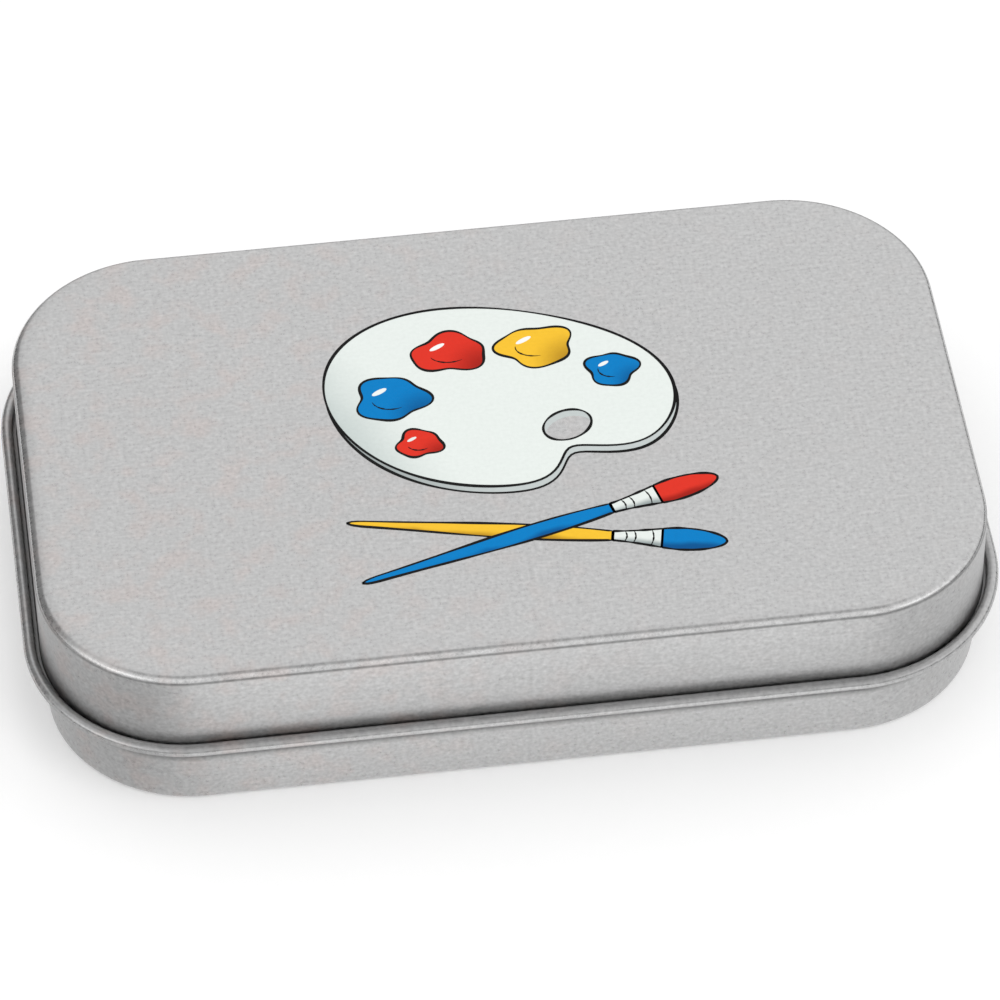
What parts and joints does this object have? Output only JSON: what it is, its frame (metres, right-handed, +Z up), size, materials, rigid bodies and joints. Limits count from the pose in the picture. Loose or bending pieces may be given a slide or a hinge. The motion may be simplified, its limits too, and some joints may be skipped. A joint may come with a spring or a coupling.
{
  "type": "hinged pocket tin",
  "caption": "Shallow rounded-rectangle tinplate box with a lid hinged at the back on wire pins, a rolled rim round the lid and a hemmed tray inside it.",
  "frame": {"origin": "middle of the tin's underside, on the surface it stands on", "axes": "+X along the length, +Y to the back where the hinge is, +Z up out of the lid's top"},
  "size_m": [0.095, 0.06, 0.018],
  "materials": {
    "tinplate": "matt tinplate, fine grain",
    "pin_steel": "drawn steel wire"
  },
  "bodies": {
    "base": {"base": "tinplate"},
    "lid": {"lid": "tinplate", "hinge_pin_left": "pin_steel", "hinge_pin_right": "pin_steel"}
  },
  "joints": [
    {"name": "lid_hinge", "type": "hinge", "parent": "base", "child": "lid", "pos_m": [0, 0.0294, 0.0088], "axis": [-1, 0, 0], "range_deg": [0, 110]}
  ]
}
